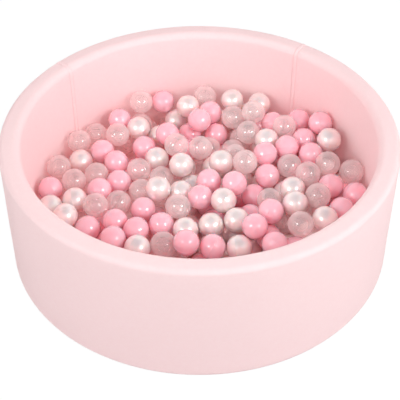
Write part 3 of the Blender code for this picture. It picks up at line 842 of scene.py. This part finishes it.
def make_stops():
    """The stop at each end of the zip: a folded metal clip."""
    for side in ("left", "right"):
        node = "zip_stop_" + side
        near, far, low, high = reach_of(node)
        start, end = angles_of(node)
        width = (end - start) * near
        clip = soft_block((-width / 2, near, low), (width / 2, far, high), clip_rounding)
        clip.matrix_world = wall_matrix((start + end) / 2)
        settle_place(clip)
        clip.name = "stop_clip_" + side
        finish_piece(clip, zip_paint)
        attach(clip, "root")
        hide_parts(node)


def make_slider_and_pull():
    """The slider and its pull, in the frame's own shapes with their edges softened as cast metal has them."""
    castings = (("zip_slider", "cast_slider", slider_edge), ("zip_pull", "cast_pull", pull_edge))
    for node, name, width in castings:
        piece = bpy.data.objects.new(name, frame["nodes"][node].data.copy())
        bpy.context.scene.collection.objects.link(piece)
        make_active(piece)
        bpy.ops.object.mode_set(mode="EDIT")
        bpy.ops.mesh.select_all(action="SELECT")
        bpy.ops.mesh.remove_doubles(threshold=same_place)
        bpy.ops.mesh.dissolve_limited(angle_limit=flat_turn)
        bpy.ops.object.mode_set(mode="OBJECT")
        apply_modifier(piece, "BEVEL", width=width, segments=2, limit_method="ANGLE")
        finish_piece(piece, zip_paint)
        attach(piece, node)
        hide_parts(node)


# The foam

def make_foam():
    """The foam inside the cover: the two lengths of the wall and the pad under them."""
    low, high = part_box("foam_wall_long")
    radius = high.x
    inner = inner_radius + cloth + seat_gap
    section = [(inner, low.z), (radius, low.z)]
    rounding = rim_rounding - cloth - seat_gap
    section += arc_points((radius - rounding, high.z - rounding), rounding, 0, math.pi / 2)
    rounding = rim_inner_rounding - cloth - seat_gap
    section += arc_points((inner + rounding, high.z - rounding), rounding, math.pi / 2, math.pi)
    section.append((inner, low.z))
    edge_gap = seat_gap / 2 / inner
    ends = ((seam_angles[1], seam_angles[0] + 2 * math.pi, "foam_ring_long", "foam_wall_long"),
            (seam_angles[0], seam_angles[1], "foam_ring_short", "foam_wall_short"))
    for start, end, name, node in ends:
        piece = draw_section(name, divided(without_doubles(section)))
        spin_section(piece, start + edge_gap, panel_stretches(start + edge_gap, end - edge_gap))
        face_cloth_out(piece, radius)
        shape_cloth(piece)
        close_ends(piece)
        finish_piece(piece, foam)
        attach(piece, "root")
        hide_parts(node)
    low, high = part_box("base_pad")
    edge_rounding = foot_rounding - cloth - seat_gap
    edge_top = lining_foot - cloth - 2 * seat_gap - cloth
    crown = high.z - edge_top
    section = [(0, low.z)]
    section += arc_points((radius - edge_rounding, low.z + edge_rounding), edge_rounding, -math.pi / 2, 0)
    section.append((radius, edge_top))
    for step in range(crown_steps, -1, -1):
        share = step / crown_steps
        section.append((share * inner_radius, edge_top + crown * (1 - share ** crown_power)))
    pad = turned_piece("foam_base", section, foam, steps=pad_turn_steps)
    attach(pad, "root")
    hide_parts("base_pad")


# The balls

def ball_centres(node):
    """Centres of the balls in a CAD node: where its facets, all on spheres of one size, agree."""
    mesh = frame["nodes"][node].data
    found = []
    for face in mesh.polygons:
        first, second, third = (mesh.vertices[index].co for index in face.vertices[:3])
        side, other = second - first, third - first
        normal = side.cross(other)
        if normal.length_squared == 0:
            continue
        middle = first + (normal.cross(side) * other.length_squared
                          + other.cross(normal) * side.length_squared) / (2 * normal.length_squared)
        depth = ball_radius ** 2 - (middle - first).length_squared
        if depth < 0:
            continue
        guess = middle - normal.normalized() * math.sqrt(depth)
        for group in found:
            if (group[0] - guess).length < centre_agreement:
                group.append(guess)
                break
        else:
            found.append([guess])
    return [sum(group, Vector()) / len(group) for group in found if len(group) >= fewest_facets]


def model_ball(name, material):
    """One blow-moulded ball with its parting line."""
    deselect_all()
    bpy.ops.mesh.primitive_uv_sphere_add(segments=ball_segments, ring_count=ball_rings, radius=ball_radius)
    ball = bpy.context.object
    ball.name = name
    bpy.ops.object.mode_set(mode="EDIT")
    bpy.ops.mesh.select_mode(type="EDGE")
    bpy.ops.mesh.select_all(action="DESELECT")
    bpy.ops.object.mode_set(mode="OBJECT")
    for edge in ball.data.edges:
        heights = [abs(ball.data.vertices[index].co.z) for index in edge.vertices]
        edge.select = max(heights) < parting_line_height
    bpy.ops.object.mode_set(mode="EDIT")
    bpy.ops.mesh.bevel(offset=parting_line_width / 2, segments=2, affect="EDGES")
    bpy.ops.object.mode_set(mode="OBJECT")
    points = points_of(ball)
    away = np.hypot(points[:, 0], points[:, 1])
    middle = np.abs(points[:, 2]) < parting_line_width / 8
    points[middle, :2] *= ((ball_radius + parting_line_height) / away[middle])[:, None]
    move_points(ball, points)
    bpy.ops.object.shade_smooth()
    ball.data.materials.clear()
    ball.data.materials.append(material)
    ball.hide_render = True
    return ball


def copy_in_place(template, matrix):
    """A copy of a template with its own mesh, put in place."""
    copy = template.copy()
    copy.data = template.data.copy()
    copy.hide_render = False
    copy.matrix_world = matrix
    bpy.context.scene.collection.objects.link(copy)
    return copy


def join_pieces(parts, name):
    """Join parts into one named piece, with its place in its mesh."""
    make_active(parts[0])
    for part in parts:
        part.select_set(True)
    if len(parts) > 1:
        bpy.ops.object.join()
    settle_place(parts[0])
    parts[0].name = name
    return parts[0]


def make_balls():
    """A smooth ball at each place where the frame has one."""
    chance = random.Random(turning_seed)
    templates = {
        "pink": model_ball("pink_ball_model", pink_plastic),
        "pearl": model_ball("pearl_ball_model", pearl_plastic),
        "clear": model_ball("clear_ball_model", clear_plastic),
    }
    total = 0
    for body, members in frame["record"]["behaviour"]["bodies"].items():
        for node in members:
            kind = next((kind for kind in templates if kind + "_ball" in node), None)
            if kind is None:
                continue
            parts = []
            for centre in ball_centres(node):
                axis = Vector([chance.gauss(0, 1) for _ in range(3)])
                turn = axis.to_track_quat("Z", "Y").to_matrix().to_4x4()
                parts.append(copy_in_place(templates[kind], Matrix.Translation(centre) @ turn))
            total += len(parts)
            piece = join_pieces(parts, "smooth_" + node)
            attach(piece, body)
            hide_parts(node)
    for template in templates.values():
        bpy.data.objects.remove(template)
    print("balls", total)


# The stage

def make_camera():
    """The camera, where the photograph was taken from."""
    data = bpy.data.cameras.new("camera")
    data.sensor_width = sensor_width
    data.lens = sensor_width * photo_focal_pixels / photo_pixels
    data.shift_x = (photo_pixels / 2 - photo_axis_pixel[0]) / photo_pixels
    data.shift_y = (photo_axis_pixel[1] - photo_pixels / 2) / photo_pixels
    camera = bpy.data.objects.new("camera", data)
    camera.location = camera_place
    camera.rotation_euler = (camera_target - camera_place).to_track_quat("-Z", "Y").to_euler()
    bpy.context.scene.collection.objects.link(camera)
    bpy.context.scene.camera = camera


def shows_white(tree):
    """A mask that is 1 for the rays that are to see the white background."""
    path = tree.nodes.new("ShaderNodeLightPath")
    seen = math_node(tree, "MAXIMUM", path.outputs["Is Camera Ray"], path.outputs["Is Glossy Ray"])
    return math_node(tree, "MAXIMUM", seen, path.outputs["Is Transmission Ray"])


def blend_upward(tree, up, heights, low, high):
    """A colour that changes from one to another between two heights in the surroundings."""
    height = add_node(tree, "ShaderNodeMapRange", from_min=heights[0], from_max=heights[1])
    tree.links.new(up, height.inputs["Value"])
    return mix_colours(tree, height.outputs[0], low, high)


def make_surroundings():
    """The light from all round, and the white that the camera and the balls see there."""
    world = bpy.data.worlds.new("studio")
    bpy.context.scene.world = world
    world.use_nodes = True
    tree = world.node_tree
    light = tree.nodes["Background"]
    light.inputs["Strength"].default_value = 1.0
    white = tree.nodes.new("ShaderNodeBackground")
    white.inputs["Strength"].default_value = 1.0
    mix = tree.nodes.new("ShaderNodeMixShader")
    tree.links.new(shows_white(tree), mix.inputs["Fac"])
    way = tree.nodes.new("ShaderNodeTexCoord").outputs["Generated"]
    split = tree.nodes.new("ShaderNodeSeparateXYZ")
    tree.links.new(way, split.inputs[0])
    ceiling = blend_upward(tree, split.outputs["Z"], mirrored_heights, (1, 1, 1), mirrored_ceiling)
    tree.links.new(ceiling, white.inputs["Color"])
    sky = blend_upward(tree, split.outputs["Z"], light_heights, low_light, high_light)
    tree.links.new(sky, light.inputs["Color"])
    tree.links.new(light.outputs[0], mix.inputs[1])
    tree.links.new(white.outputs[0], mix.inputs[2])
    tree.links.new(mix.outputs[0], tree.nodes["World Output"].inputs["Surface"])


def make_stage_floor():
    """The plain white floor."""
    deselect_all()
    bpy.ops.mesh.primitive_circle_add(
        vertices=floor_sides, radius=floor_radius, fill_type="NGON", location=(0, 0, 0))
    floor = bpy.context.object
    floor.name = "studio_floor"
    material, tree, shader = new_material("studio_floor")
    shader.inputs["Base Color"].default_value = (*floor_grey, 1)
    shader.inputs["Roughness"].default_value = 0.9
    glow = tree.nodes.new("ShaderNodeEmission")
    glow.inputs["Strength"].default_value = floor_glow
    mix = tree.nodes.new("ShaderNodeMixShader")
    amount = math_node(tree, "MULTIPLY", shows_white(tree), floor_whiteness)
    tree.links.new(amount, mix.inputs["Fac"])
    tree.links.new(shader.outputs[0], mix.inputs[1])
    tree.links.new(glow.outputs[0], mix.inputs[2])
    tree.links.new(mix.outputs[0], tree.nodes["Material Output"].inputs["Surface"])
    floor.data.materials.append(material)


def add_snoot():
    """A narrow soft lamp straight above, whose light falls only inside the wall."""
    data = bpy.data.lights.new("snoot", "SPOT")
    data.energy = snoot_power
    data.color = snoot_colour
    data.shadow_soft_size = snoot_width / 2
    data.spot_size = snoot_spread * math.atan2(inner_radius, snoot_height - overall_height)
    data.spot_blend = snoot_blend
    lamp = bpy.data.objects.new("snoot", data)
    lamp.location = (0, 0, snoot_height)
    lamp.visible_glossy = False
    bpy.context.scene.collection.objects.link(lamp)


def add_softbox(name, azimuth, elevation, distance, size, power, mirrored=True):
    """A square softbox that looks at the pit; azimuth 0 is the camera's side."""
    data = bpy.data.lights.new(name, "AREA")
    data.shape = "SQUARE"
    data.size = size
    data.energy = power
    data.color = lamp_colour
    lamp = bpy.data.objects.new(name, data)
    side, up = math.radians(azimuth), math.radians(elevation)
    toward = Vector((math.sin(side) * math.cos(up), -math.cos(side) * math.cos(up), math.sin(up)))
    lamp.location = camera_target + toward * distance
    lamp.rotation_euler = (-toward).to_track_quat("-Z", "Y").to_euler()
    lamp.visible_glossy = mirrored
    bpy.context.scene.collection.objects.link(lamp)


knit = make_knit()
wear = make_wear()
jersey = jersey_material(
    "pink_jersey", pale=(0.99, 0.765, 0.775), deep=(0.97, 0.715, 0.725), knit_depth=knit_depth)
thread = jersey_material(
    "thread", pale=(0.93, 0.66, 0.68), deep=(0.88, 0.60, 0.62), knit_depth=thread_depth)
foam = foam_material()
zip_cloth = tape_material()
zip_plastic = hard_material(
    "zip_teeth", pale=(0.90, 0.62, 0.65), deep=(0.85, 0.56, 0.59), roughness=0.38, metallic=0.0)
zip_paint = hard_material(
    "zip_paint", pale=(0.90, 0.64, 0.66), deep=(0.86, 0.58, 0.61), roughness=0.30, metallic=0.35)
pink_plastic = plastic_material(
    "pink_plastic", pale=(1.0, 0.55, 0.63), deep=(1.0, 0.50, 0.58), roughness=0.24,
    coat_roughness=0.14, metallic=0.0, glow=(1.0, 0.35, 0.35))
pearl_plastic = plastic_material(
    "pearl_plastic", pale=(0.97, 0.855, 0.84), deep=(0.94, 0.82, 0.80), roughness=0.33,
    coat_roughness=0.20, metallic=0.40, glow=(1.0, 0.7, 0.6))
clear_plastic = clear_material()

make_camera()
make_surroundings()
make_stage_floor()
add_softbox("softbox_left", azimuth=-43, elevation=34, distance=3.0, size=0.7, power=15)
add_softbox("softbox_right", azimuth=45, elevation=34, distance=3.0, size=0.7, power=20)
add_softbox("fill_right", azimuth=80, elevation=28, distance=3.2, size=2.2, power=36, mirrored=False)
add_softbox("fill_left", azimuth=-62, elevation=28, distance=3.2, size=2.2, power=15, mirrored=False)
add_softbox("fill_front", azimuth=-12, elevation=42, distance=3.2, size=1.6, power=13, mirrored=False)
add_softbox("fill_back", azimuth=180, elevation=8, distance=3.2, size=1.6, power=26, mirrored=False)
add_snoot()
make_cover()
make_floor_and_base()
make_foam()
make_tapes()
make_teeth()
make_stops()
make_slider_and_pull()
make_stitches()
make_balls()

light_paths = bpy.context.scene.cycles
light_paths.max_bounces = 32
light_paths.diffuse_bounces = 24
light_paths.glossy_bounces = 24
light_paths.transparent_max_bounces = 32
bpy.context.scene.view_settings.view_transform = "Standard"
